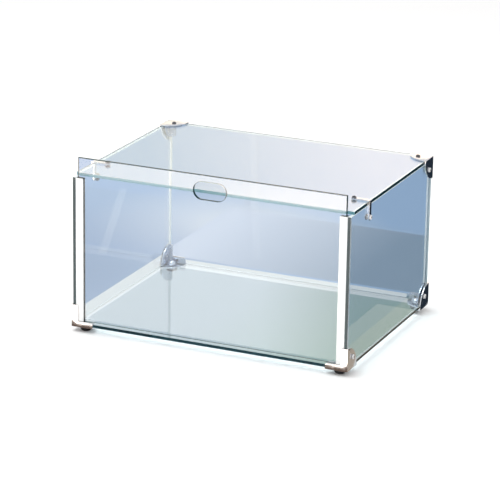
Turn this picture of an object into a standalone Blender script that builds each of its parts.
"""Frameless glass hamster case: six float-glass panes, clamped at the corners by bright metal brackets.

The front pane stands in two white channels and lifts out by its finger slot. The model is in metres,
+Z up, -Y to the front. Its origin is on the ground, in the middle of the bounding box.
"""
import math

import bmesh
import bpy
from mathutils import Vector

# ---------------------------------------------------------------- driving dimensions, metres
CASE_WIDTH = 0.450            # over the outer faces of the two side panes
CASE_DEPTH = 0.336            # from the side panes' front edges to the rear pane's back face
CASE_HEIGHT = 0.240           # from the floor glass's underside to the top glass's upper face
GLASS = 0.005                 # thickness of every pane
GAP = 0.0003                  # room left between two touching pieces

TOP_SETBACK = 0.014           # the top glass stops this far behind the side panes' front edges
FRONT_RISE = 0.026            # the front pane stands this far above the top glass
FRONT_INSET = 0.002           # the front pane's face, behind the side panes' front edges
SLOT_LENGTH = 0.053           # finger slot in the front pane, with round ends
SLOT_HEIGHT = 0.027
SLOT_DROP = 0.024             # the slot's centre, below the front pane's top edge

CHANNEL_WALL = 0.0015         # white U-shaped guide of the front pane
CHANNEL_LIP = 0.012           # how far the guide's two lips reach inwards
CHANNEL_PLAY = 0.0005         # room on each side of the pane in the guide
CHANNEL_END_PLAY = 0.001      # room between the pane's edge and the guide's web

PLATE = 0.0018                # sheet metal of the brackets and straps
OUTER_REACH = 0.034           # radius of the quarter-round plates outside
INNER_REACH_LOW = 0.030       # reach of the inner corner pieces above the floor
INNER_REACH_HIGH = 0.022      # and under the top glass
REAR_ARM = 0.009              # height of the low arms on both faces of the rear pane
INNER_SPINE = 0.006           # width of the inner piece's upright strip on the rear pane
TOP_SPINE = 0.010             # width of the top pieces' strips on the rear pane
TOP_SPINE_DROP = 0.018        # and how far they hang below the top glass
CORNER_BALL = 0.0055          # radius of the ball in a top inner corner
SEAL_LEG = 0.0033             # white bead in each upright rear corner, along both panes
FRONT_LIP_WIDTH = 0.009       # the bracket's upright strip, in front of or behind the side pane
UPPER_LIP_DEPTH = 0.013       # the front bracket's tongue on the floor glass

STRAP_WIDTH = 0.008
STRAP_TOP_LEG = 0.028
STRAP_SIDE_LEG = 0.029
STRAP_BACK = 0.0575           # the strap's middle, behind the top glass's front edge

FOOT_HEIGHT = 0.0075
FOOT_RADIUS = 0.009
FOOT_IN_X = 0.0155            # the foot's centre, from the case's side
FRONT_FOOT_IN = 0.013         # and from its front edge
REAR_FOOT_IN = 0.017          # or its rear edge
CAP_RADIUS = 0.0075           # domed cap nut on the floor glass, over each rear foot
CAP_HEIGHT = 0.0065
CAP_BORE = 0.0035             # depth of the cap's hole for the foot's screw

SCREW_SHANK = 0.0018          # radii
SCREW_HOLE = 0.0021
SCREW_HEAD = 0.0036
SCREW_HEAD_HEIGHT = 0.0022
PLATE_SCREW = 0.017           # the screws' distance from both edges of a corner plate
ARM_SCREW = 0.020             # the screw in a low arm, from the case's side
STRAP_SCREW_IN = 0.024        # from the case's corner edge, along each leg of a strap
NUT_RADIUS = 0.0045
NUT_HEIGHT = 0.003

ROUND_STEPS = 20              # sides of a foot
SCREW_STEPS = 12              # sides of screws, nuts and their holes
ARC_STEPS = 48                # sides of a full circle at the brackets' round edges
KNOB_STEPS = 16               # sides of the balls and the cap nuts
SLOT_STEPS = 24               # straight parts of each round end of the finger slot
SEAL_STEPS = 6                # and of the corner beads' round faces

# ---------------------------------------------------------------- levels and faces worked out from them
FACE_OUT = GAP + PLATE                        # a plate's outer face, from the glass
FRONT_PROUD = FACE_OUT                        # what stands proud of the glass at the front
REAR_PROUD = FACE_OUT + GAP + SCREW_HEAD_HEIGHT
SIDE_X = CASE_WIDTH / 2
FRONT_Y = -(CASE_DEPTH + FRONT_PROUD + REAR_PROUD) / 2 + FRONT_PROUD
REAR_Y = FRONT_Y + CASE_DEPTH
FLOOR_LOW = FOOT_HEIGHT + GAP + PLATE + GAP
FLOOR_TOP = FLOOR_LOW + GLASS
CASE_TOP = FLOOR_LOW + CASE_HEIGHT
TOP_LOW = CASE_TOP - GLASS
WALL_LOW = FLOOR_TOP + GAP
WALL_TOP = TOP_LOW - GAP
LIP_TOP = FLOOR_TOP + GAP + PLATE             # upper face of the front bracket's tongue
INNER_X = SIDE_X - GLASS                      # inner faces of the side panes
INNER_Y = REAR_Y - GLASS                      # inner face of the rear pane
FRONT_PANE_Y = FRONT_Y + FRONT_INSET
FRONT_PANE_LOW = LIP_TOP + GAP
FRONT_PANE_TOP = CASE_TOP + FRONT_RISE
STRAP_Y = FRONT_Y + TOP_SETBACK + STRAP_BACK
SIDES = {"left": -1, "right": 1}

# Every screw is a head, then a shank along a direction: name -> (seat of the head, direction, length)
screws = {}


# ---------------------------------------------------------------- materials
def make_material(name, colour, roughness, metallic=0.0, transmission=0.0):
    material = bpy.data.materials.new(name)
    material.use_nodes = True
    shader = material.node_tree.nodes["Principled BSDF"]
    shader.inputs["Base Color"].default_value = (*colour, 1.0)
    shader.inputs["Roughness"].default_value = roughness
    shader.inputs["Metallic"].default_value = metallic
    shader.inputs["Transmission Weight"].default_value = transmission
    material.diffuse_color = (*colour, 1.0)
    return material


# ---------------------------------------------------------------- mesh helpers
def add_box(bm, low, high):
    low, high = Vector(low), Vector(high)
    cube = bmesh.ops.create_cube(bm, size=1.0)
    bmesh.ops.scale(bm, vec=high - low, verts=cube["verts"])
    bmesh.ops.translate(bm, vec=(low + high) / 2, verts=cube["verts"])


def add_cylinder(bm, start, direction, radius, length):
    turn = Vector((0, 0, 1)).rotation_difference(Vector(direction)).to_matrix()
    made = bmesh.ops.create_cone(bm, cap_ends=True, segments=SCREW_STEPS, radius1=radius,
                                 radius2=radius, depth=length)
    bmesh.ops.rotate(bm, cent=(0, 0, 0), matrix=turn, verts=made["verts"])
    middle = Vector(start) + Vector(direction) * (length / 2)
    bmesh.ops.translate(bm, vec=middle, verts=made["verts"])


def add_prism(bm, outline, along, length):
    """Extrude a closed outline of points by a length along a direction."""
    corners = [bm.verts.new(point) for point in outline]
    face = bm.faces.new(corners)
    grown = bmesh.ops.extrude_face_region(bm, geom=[face])
    moved = [item for item in grown["geom"] if isinstance(item, bmesh.types.BMVert)]
    bmesh.ops.translate(bm, vec=Vector(along) * length, verts=moved)


def add_turned(bm, profile, base, direction, steps):
    """Spin a profile of (radius, height) points, from axis to axis, about a direction from base."""
    points = [bm.verts.new((radius, 0, height)) for radius, height in profile]
    edges = [bm.edges.new(pair) for pair in zip(points, points[1:])]
    bmesh.ops.spin(bm, geom=points + edges, cent=(0, 0, 0), axis=(0, 0, 1), angle=math.tau,
                   steps=steps, use_merge=True)
    bmesh.ops.remove_doubles(bm, verts=bm.verts, dist=1e-6)
    turn = Vector((0, 0, 1)).rotation_difference(Vector(direction)).to_matrix()
    bmesh.ops.rotate(bm, cent=(0, 0, 0), matrix=turn, verts=bm.verts)
    bmesh.ops.translate(bm, vec=base, verts=bm.verts)


def finish_object(name, bm, material=None, smooth=False, origin=(0, 0, 0)):
    bmesh.ops.translate(bm, vec=-Vector(origin), verts=bm.verts)
    bmesh.ops.recalc_face_normals(bm, faces=bm.faces)
    mesh = bpy.data.meshes.new(name)
    bm.to_mesh(mesh)
    bm.free()
    if smooth:
        mesh.shade_smooth()
        mesh.set_sharp_from_angle(angle=math.radians(35))
    piece = bpy.data.objects.new(name, mesh)
    piece.location = origin
    bpy.context.collection.objects.link(piece)
    if material:
        mesh.materials.append(material)
    return piece


def make_box(name, low, high, material=None):
    bm = bmesh.new()
    add_box(bm, low, high)
    return finish_object(name, bm, material)


def make_cutter(name, bm):
    cutter = finish_object(name, bm)
    cutter.hide_render = True
    cutter.display_type = "WIRE"
    return cutter


def make_box_cutter(name, low, high):
    bm = bmesh.new()
    add_box(bm, low, high)
    return make_cutter(name, bm)


def make_ball_cutter(name, centre, radius, steps=ARC_STEPS):
    bm = bmesh.new()
    ball = bmesh.ops.create_uvsphere(bm, u_segments=steps, v_segments=steps // 2, radius=radius)
    bmesh.ops.translate(bm, vec=centre, verts=ball["verts"])
    return make_cutter(name, bm)


def boolean(target, other, operation="DIFFERENCE"):
    modifier = target.modifiers.new(other.name, "BOOLEAN")
    modifier.operation = operation
    modifier.solver = "EXACT"
    modifier.object = other


def corner_box(corner, inward, start, end):
    """Low and high corners of a box that runs inward from a case corner, from start to end."""
    ends = [(c + i * start, c + i * end) for c, i in zip(corner, inward)]
    return [min(pair) for pair in ends], [max(pair) for pair in ends]


# ---------------------------------------------------------------- glass
def stadium(centre_x, y, centre_z, length, height):
    """Outline of a slot with round ends, in the XZ plane at y."""
    radius = height / 2
    half_straight = length / 2 - radius
    points = []
    for side, first in ((1, -90), (-1, 90)):
        for step in range(SLOT_STEPS + 1):
            angle = math.radians(first + 180 * step / SLOT_STEPS)
            x = centre_x + side * half_straight + radius * math.cos(angle)
            points.append((x, y, centre_z + radius * math.sin(angle)))
    return points


def make_glass(glass):
    panes = {}
    panes["floor"] = make_box("floor_glass", (-SIDE_X, FRONT_Y, FLOOR_LOW),
                              (SIDE_X, REAR_Y, FLOOR_TOP), glass)
    panes["top"] = make_box("top_glass", (-SIDE_X, FRONT_Y + TOP_SETBACK, TOP_LOW),
                            (SIDE_X, REAR_Y, CASE_TOP), glass)
    panes["rear"] = make_box("rear_glass", (-INNER_X + GAP, INNER_Y, WALL_LOW),
                             (INNER_X - GAP, REAR_Y, WALL_TOP), glass)
    for side, sign in SIDES.items():
        low_x, high_x = sorted((sign * INNER_X, sign * SIDE_X))
        panes[side] = make_box(f"{side}_glass", (low_x, FRONT_Y, WALL_LOW),
                               (high_x, REAR_Y, WALL_TOP), glass)
    return panes


def make_front_glass(glass):
    half = INNER_X - GAP - CHANNEL_WALL - CHANNEL_END_PLAY
    origin = (0, FRONT_PANE_Y + GLASS / 2, FRONT_PANE_LOW)
    bm = bmesh.new()
    add_box(bm, (-half, FRONT_PANE_Y, FRONT_PANE_LOW), (half, FRONT_PANE_Y + GLASS, FRONT_PANE_TOP))
    pane = finish_object("front_glass", bm, glass, origin=origin)
    bm = bmesh.new()
    outline = stadium(0, FRONT_PANE_Y - GLASS, FRONT_PANE_TOP - SLOT_DROP, SLOT_LENGTH, SLOT_HEIGHT)
    add_prism(bm, outline, (0, 1, 0), 3 * GLASS)
    boolean(pane, make_cutter("finger_slot_cutter", bm))


# ---------------------------------------------------------------- white channels
def make_channel(side, sign, plastic):
    outer = sign * (INNER_X - GAP)
    web = outer - sign * CHANNEL_WALL
    tip = outer - sign * CHANNEL_LIP
    groove_front = FRONT_Y + CHANNEL_WALL
    groove_back = FRONT_PANE_Y + GLASS + CHANNEL_PLAY
    back = groove_back + CHANNEL_WALL
    outline = [(outer, FRONT_Y), (tip, FRONT_Y), (tip, groove_front), (web, groove_front),
               (web, groove_back), (tip, groove_back), (tip, back), (outer, back)]
    bm = bmesh.new()
    low = LIP_TOP + GAP
    add_prism(bm, [(x, y, low) for x, y in outline], (0, 0, 1), WALL_TOP - low)
    finish_object(f"{side}_channel", bm, plastic)


# ---------------------------------------------------------------- corner brackets
def make_shell(name, corner, inward, reach, hollow, material):
    """Three quarter-round plates that meet in a corner: a cube, less a hollow, within a ball."""
    low, high = corner_box(corner, inward, -FACE_OUT, reach + PLATE)
    shell = make_box(name, low, high, material)
    boolean(shell, hollow)
    boolean(shell, make_ball_cutter(f"{name}_ball", corner, reach), "INTERSECT")
    return shell


def make_rear_bracket(level, side, metal, case_block):
    sign = SIDES[side]
    upward = 1 if level == "top" else -1
    corner = (sign * SIDE_X, REAR_Y, CASE_TOP if upward > 0 else FLOOR_LOW)
    name = f"{level}_rear_{side}_bracket"
    bracket = make_shell(name, corner, (-sign, -1, -upward), OUTER_REACH, case_block, metal)
    beyond = sorted((sign * (SIDE_X - FRONT_LIP_WIDTH), sign * (SIDE_X - 2 * OUTER_REACH)))
    if upward > 0:
        trim = ((beyond[0], REAR_Y, CASE_TOP - 2 * OUTER_REACH), (beyond[1], CASE_DEPTH, CASE_TOP))
        wide = sorted((sign * (SIDE_X + 2 * FACE_OUT), sign * (SIDE_X - 2 * OUTER_REACH)))
        drop = ((wide[0], REAR_Y + GAP / 2, CASE_TOP - 2 * OUTER_REACH),
                (wide[1], CASE_DEPTH, TOP_LOW - TOP_SPINE_DROP))
        boolean(bracket, make_box_cutter(f"{name}_drop", *drop))
    else:
        trim = ((beyond[0], REAR_Y, FLOOR_TOP + REAR_ARM), (beyond[1], CASE_DEPTH, CASE_TOP))
        rear_seat = (sign * (SIDE_X - ARM_SCREW), REAR_Y + FACE_OUT, FLOOR_TOP + REAR_ARM / 2)
        screws[f"{name}_rear_screw"] = (rear_seat, (0, -1, 0), FACE_OUT + GLASS + GAP + PLATE)
    boolean(bracket, make_box_cutter(f"{name}_trim", *trim))
    screw_z = corner[2] - upward * PLATE_SCREW
    screw_y = REAR_Y - PLATE_SCREW
    through = FACE_OUT + GLASS + GAP + PLATE
    side_seat = (sign * (SIDE_X + FACE_OUT), screw_y, screw_z)
    screws[f"{name}_side_screw"] = (side_seat, (-sign, 0, 0), through)
    if upward > 0:
        top_seat = (corner[0] - sign * PLATE_SCREW, screw_y, CASE_TOP + FACE_OUT)
        screws[f"{name}_top_screw"] = (top_seat, (0, 0, -1), through)
    return bracket


def make_bottom_inner_corner(side, metal):
    """The counterpart inside a lower rear corner: a fin on the side pane, a spine and a low arm."""
    sign = SIDES[side]
    corner = (sign * (INNER_X - GAP), INNER_Y - GAP, FLOOR_TOP + GAP)
    inward = (-sign, -1, 1)
    name = f"bottom_{side}_inner_corner"
    piece = make_box(name, *corner_box(corner, inward, 0, INNER_REACH_LOW + PLATE), metal)
    hollow = [(c + i * PLATE, c + i * 2 * INNER_REACH_LOW) for c, i in zip(corner, inward)]
    hollow[2] = (FLOOR_LOW, corner[2] + 2 * INNER_REACH_LOW)
    boolean(piece, make_box_cutter(f"{name}_hollow", [min(pair) for pair in hollow],
                                   [max(pair) for pair in hollow]))
    boolean(piece, make_ball_cutter(f"{name}_ball", corner, INNER_REACH_LOW), "INTERSECT")
    beyond = sorted((corner[0] - sign * INNER_SPINE, corner[0] - sign * 2 * INNER_REACH_LOW))
    boolean(piece, make_box_cutter(f"{name}_trim", (beyond[0], corner[1] - 2 * PLATE,
                                                    FLOOR_TOP + REAR_ARM),
                                   (beyond[1], REAR_Y, CASE_TOP)))
    return piece


def make_top_inner_corner(side, metal):
    """The counterpart inside an upper rear corner: three plates and a ball where they meet."""
    sign = SIDES[side]
    corner = (sign * (INNER_X - GAP), INNER_Y - GAP, TOP_LOW - GAP)
    inward = (-sign, -1, -1)
    name = f"top_{side}_inner_corner"
    piece = make_box(name, *corner_box(corner, inward, 0, INNER_REACH_HIGH + PLATE), metal)
    hollow = corner_box(corner, inward, PLATE, 2 * INNER_REACH_HIGH)
    boolean(piece, make_box_cutter(f"{name}_hollow", *hollow))
    boolean(piece, make_ball_cutter(f"{name}_ball", corner, INNER_REACH_HIGH), "INTERSECT")
    beyond = sorted((corner[0] - sign * TOP_SPINE, corner[0] - sign * 2 * INNER_REACH_HIGH))
    boolean(piece, make_box_cutter(f"{name}_trim", (beyond[0], corner[1] - 2 * PLATE, FLOOR_LOW),
                                   (beyond[1], REAR_Y, corner[2] - PLATE / 2)))
    # the ball alone would close off a small hollow against the three plates, so a cube fills it
    fill = corner_box(corner, inward, PLATE / 2, CORNER_BALL)
    boolean(piece, make_box_cutter(f"{name}_fill", *fill), "UNION")
    knob_centre = [c + i * CORNER_BALL for c, i in zip(corner, inward)]
    knob = make_ball_cutter(f"{name}_knob", knob_centre, CORNER_BALL - GAP / 2, KNOB_STEPS)
    boolean(piece, knob, "UNION")
    return piece


def make_seal(side, plastic):
    """A slim white bead in an upright rear corner, between the lower and upper inner pieces."""
    sign = SIDES[side]
    corner_x, corner_y = sign * (INNER_X - GAP), INNER_Y - GAP
    low = FLOOR_TOP + GAP + INNER_REACH_LOW + GAP
    high = TOP_LOW - GAP - INNER_REACH_HIGH - GAP
    outline = [(corner_x, corner_y)]
    for step in range(SEAL_STEPS + 1):
        angle = math.radians(90 * step / SEAL_STEPS)
        outline.append((corner_x - sign * SEAL_LEG * math.cos(angle),
                        corner_y - SEAL_LEG * math.sin(angle)))
    bm = bmesh.new()
    add_prism(bm, [(x, y, low) for x, y in outline], (0, 0, 1), high - low)
    finish_object(f"rear_{side}_corner_seal", bm, plastic)


def make_front_bracket(side, metal, case_block):
    sign = SIDES[side]
    corner = (sign * SIDE_X, FRONT_Y, FLOOR_LOW)
    name = f"front_{side}_bracket"
    bracket = make_shell(name, corner, (-sign, 1, 1), OUTER_REACH, case_block, metal)
    trim_x = sorted((corner[0] - sign * FRONT_LIP_WIDTH, corner[0] - sign * 2 * OUTER_REACH))
    trim_z = LIP_TOP - PLATE / 2
    boolean(bracket, make_box_cutter(f"{name}_trim", (trim_x[0], FRONT_Y - 2 * FACE_OUT, trim_z),
                                     (trim_x[1], FRONT_Y, CASE_TOP)))
    tongue_x = sorted((sign * (INNER_X - GAP), corner[0] - sign * (OUTER_REACH - PLATE)))
    tongue_low = (tongue_x[0], FRONT_Y - GAP - PLATE / 2, FLOOR_TOP + GAP)
    tongue_high = (tongue_x[1], FRONT_Y + UPPER_LIP_DEPTH, LIP_TOP)
    boolean(bracket, make_box_cutter(f"{name}_tongue", tongue_low, tongue_high), "UNION")
    seat = (sign * (SIDE_X + FACE_OUT), FRONT_Y + PLATE_SCREW, FLOOR_LOW + PLATE_SCREW)
    screws[f"front_{side}_bracket_screw"] = (seat, (-sign, 0, 0), FACE_OUT + GLASS + GAP + NUT_HEIGHT)
    return bracket


def make_strap(side, metal):
    """A flat strip bent over the top glass's side edge, with a screw in each leg."""
    sign = SIDES[side]
    inner, outer = SIDE_X + GAP, SIDE_X + FACE_OUT
    under, upper = CASE_TOP + GAP, CASE_TOP + FACE_OUT
    arc = []
    for step in range(4):
        angle = math.radians(30 * step)
        arc.append((outer - PLATE + PLATE * math.cos(angle), upper - PLATE + PLATE * math.sin(angle)))
    outline = [(inner, CASE_TOP - STRAP_SIDE_LEG), (outer, CASE_TOP - STRAP_SIDE_LEG), *arc,
               (SIDE_X - STRAP_TOP_LEG, upper), (SIDE_X - STRAP_TOP_LEG, under), (inner, under)]
    low_y = STRAP_Y - STRAP_WIDTH / 2
    bm = bmesh.new()
    add_prism(bm, [(sign * x, low_y, z) for x, z in outline], (0, 1, 0), STRAP_WIDTH)
    strap = finish_object(f"{side}_top_strap", bm, metal)
    through = FACE_OUT + GLASS + GAP + NUT_HEIGHT
    top_seat = (sign * (SIDE_X - STRAP_SCREW_IN), STRAP_Y, upper)
    screws[f"{side}_strap_top_screw"] = (top_seat, (0, 0, -1), through)
    side_seat = (sign * outer, STRAP_Y, CASE_TOP - STRAP_SCREW_IN)
    screws[f"{side}_strap_side_screw"] = (side_seat, (-sign, 0, 0), through)
    return strap


# ---------------------------------------------------------------- small turned pieces
def make_screw(name, seat, direction, length, metal):
    """A domed head above its seat and a plain shank that runs along the direction."""
    head = [(0, -SCREW_HEAD_HEIGHT), (SCREW_HEAD * 0.55, -SCREW_HEAD_HEIGHT * 0.92),
            (SCREW_HEAD * 0.88, -SCREW_HEAD_HEIGHT * 0.6), (SCREW_HEAD, -SCREW_HEAD_HEIGHT * 0.2)]
    shank = [(SCREW_HEAD, 0), (SCREW_SHANK, 0), (SCREW_SHANK, length), (0, length)]
    bm = bmesh.new()
    base = Vector(seat) - Vector(direction) * GAP
    add_turned(bm, head + shank, base, direction, SCREW_STEPS)
    finish_object(name, bm, metal, smooth=True)


def make_nut(name, face_point, direction, metal):
    """A round nut that stands on a pane's inner face, around the end of its screw."""
    bm = bmesh.new()
    start = Vector(face_point) + Vector(direction) * GAP
    add_cylinder(bm, start, direction, NUT_RADIUS, NUT_HEIGHT)
    return finish_object(name, bm, metal, smooth=True)


def make_cap(name, x, y, metal):
    """A domed cap nut on the floor glass, that holds a rear foot's screw."""
    dome = []
    for step in range(6):
        angle = math.radians(90 * step / 5)
        dome.append((CAP_RADIUS * math.cos(angle), 0.001 + (CAP_HEIGHT - 0.001) * math.sin(angle)))
    dome[-1] = (0, CAP_HEIGHT)
    bm = bmesh.new()
    add_turned(bm, [(0, 0), (CAP_RADIUS, 0), *dome], (x, y, FLOOR_TOP + GAP), (0, 0, 1), KNOB_STEPS)
    return finish_object(name, bm, metal, smooth=True)


def make_foot(name, x, y, rubber, screw_top):
    """A domed rubber foot whose flat ring stands on the ground, round a recess for its screw."""
    recess_radius, recess_depth, ring = 0.0045, 0.003, 0.0060
    dome = []
    for step in range(5):
        angle = math.radians(90 * step / 4)
        dome.append((ring + (FOOT_RADIUS - ring) * math.sin(angle),
                     (FOOT_HEIGHT - 0.001) * (1 - math.cos(angle))))
    profile = [(SCREW_HOLE, recess_depth), (recess_radius, recess_depth), (recess_radius, 0), *dome,
               (FOOT_RADIUS, FOOT_HEIGHT), (SCREW_HOLE, FOOT_HEIGHT), (SCREW_HOLE, recess_depth)]
    bm = bmesh.new()
    add_turned(bm, profile, (x, y, 0), (0, 0, 1), ROUND_STEPS)
    finish_object(name, bm, rubber, smooth=True)
    screws[f"{name}_screw"] = ((x, y, recess_depth), (0, 0, 1), screw_top - recess_depth)


def make_feet(rubber, metal):
    """Four feet, and the caps of the two rear ones, which are returned for drilling."""
    caps = []
    for side, sign in SIDES.items():
        x = sign * (SIDE_X - FOOT_IN_X)
        rear_y = REAR_Y - REAR_FOOT_IN
        make_foot(f"front_{side}_foot", x, FRONT_Y + FRONT_FOOT_IN, rubber, FLOOR_LOW - GAP)
        make_foot(f"rear_{side}_foot", x, rear_y, rubber, FLOOR_TOP + CAP_BORE)
        caps.append(make_cap(f"rear_{side}_foot_cap", x, rear_y, metal))
    return caps


def make_screw_holes():
    """One cutter with a clearance hole for every screw, a little longer than its shank.

    A front foot's screw stops short of the floor glass, so its hole ends with the shank.
    """
    bm = bmesh.new()
    over = 0.001
    for name, (seat, direction, length) in screws.items():
        start = Vector(seat) - Vector(direction) * over
        beyond = 0 if name.startswith("front") and name.endswith("foot_screw") else over
        add_cylinder(bm, start, direction, SCREW_HOLE, over + length + beyond)
    return make_cutter("screw_holes", bm)


def main():
    for item in list(bpy.data.objects):
        bpy.data.objects.remove(item, do_unlink=True)
    glass = make_material("clear_float_glass", (0.80, 0.90, 0.93), 0.02, transmission=0.9)
    plastic = make_material("white_plastic", (0.90, 0.91, 0.90), 0.35)
    metal = make_material("bright_nickel_sheet", (0.72, 0.70, 0.69), 0.18, metallic=1.0)
    steel = make_material("screw_steel", (0.60, 0.60, 0.62), 0.25, metallic=1.0)
    rubber = make_material("black_rubber", (0.02, 0.02, 0.02), 0.6)

    case_low = (-SIDE_X - GAP, FRONT_Y - GAP, FLOOR_LOW - GAP)
    case_high = (SIDE_X + GAP, REAR_Y + GAP, CASE_TOP + GAP)
    case_block = make_box_cutter("case_block", case_low, case_high)

    panes = make_glass(glass)
    make_front_glass(glass)
    drilled = list(panes.values())
    for side, sign in SIDES.items():
        make_channel(side, sign, plastic)
        make_seal(side, plastic)
        drilled.append(make_front_bracket(side, metal, case_block))
        drilled.append(make_strap(side, metal))
        drilled.append(make_rear_bracket("bottom", side, metal, case_block))
        drilled.append(make_rear_bracket("top", side, metal, case_block))
        drilled.append(make_bottom_inner_corner(side, metal))
        drilled.append(make_top_inner_corner(side, metal))
        inner_x = sign * INNER_X
        strap_z = CASE_TOP - STRAP_SCREW_IN
        top_x = sign * (SIDE_X - STRAP_SCREW_IN)
        drilled.append(make_nut(f"front_{side}_bracket_nut",
                                (inner_x, FRONT_Y + PLATE_SCREW, FLOOR_LOW + PLATE_SCREW),
                                (-sign, 0, 0), steel))
        drilled.append(make_nut(f"{side}_strap_side_nut", (inner_x, STRAP_Y, strap_z),
                                (-sign, 0, 0), steel))
        drilled.append(make_nut(f"{side}_strap_top_nut", (top_x, STRAP_Y, TOP_LOW),
                                (0, 0, -1), steel))
    drilled += make_feet(rubber, metal)
    for name, (seat, direction, length) in screws.items():
        make_screw(name, seat, direction, length, steel)
    holes = make_screw_holes()
    for piece in drilled:
        boolean(piece, holes)


main()
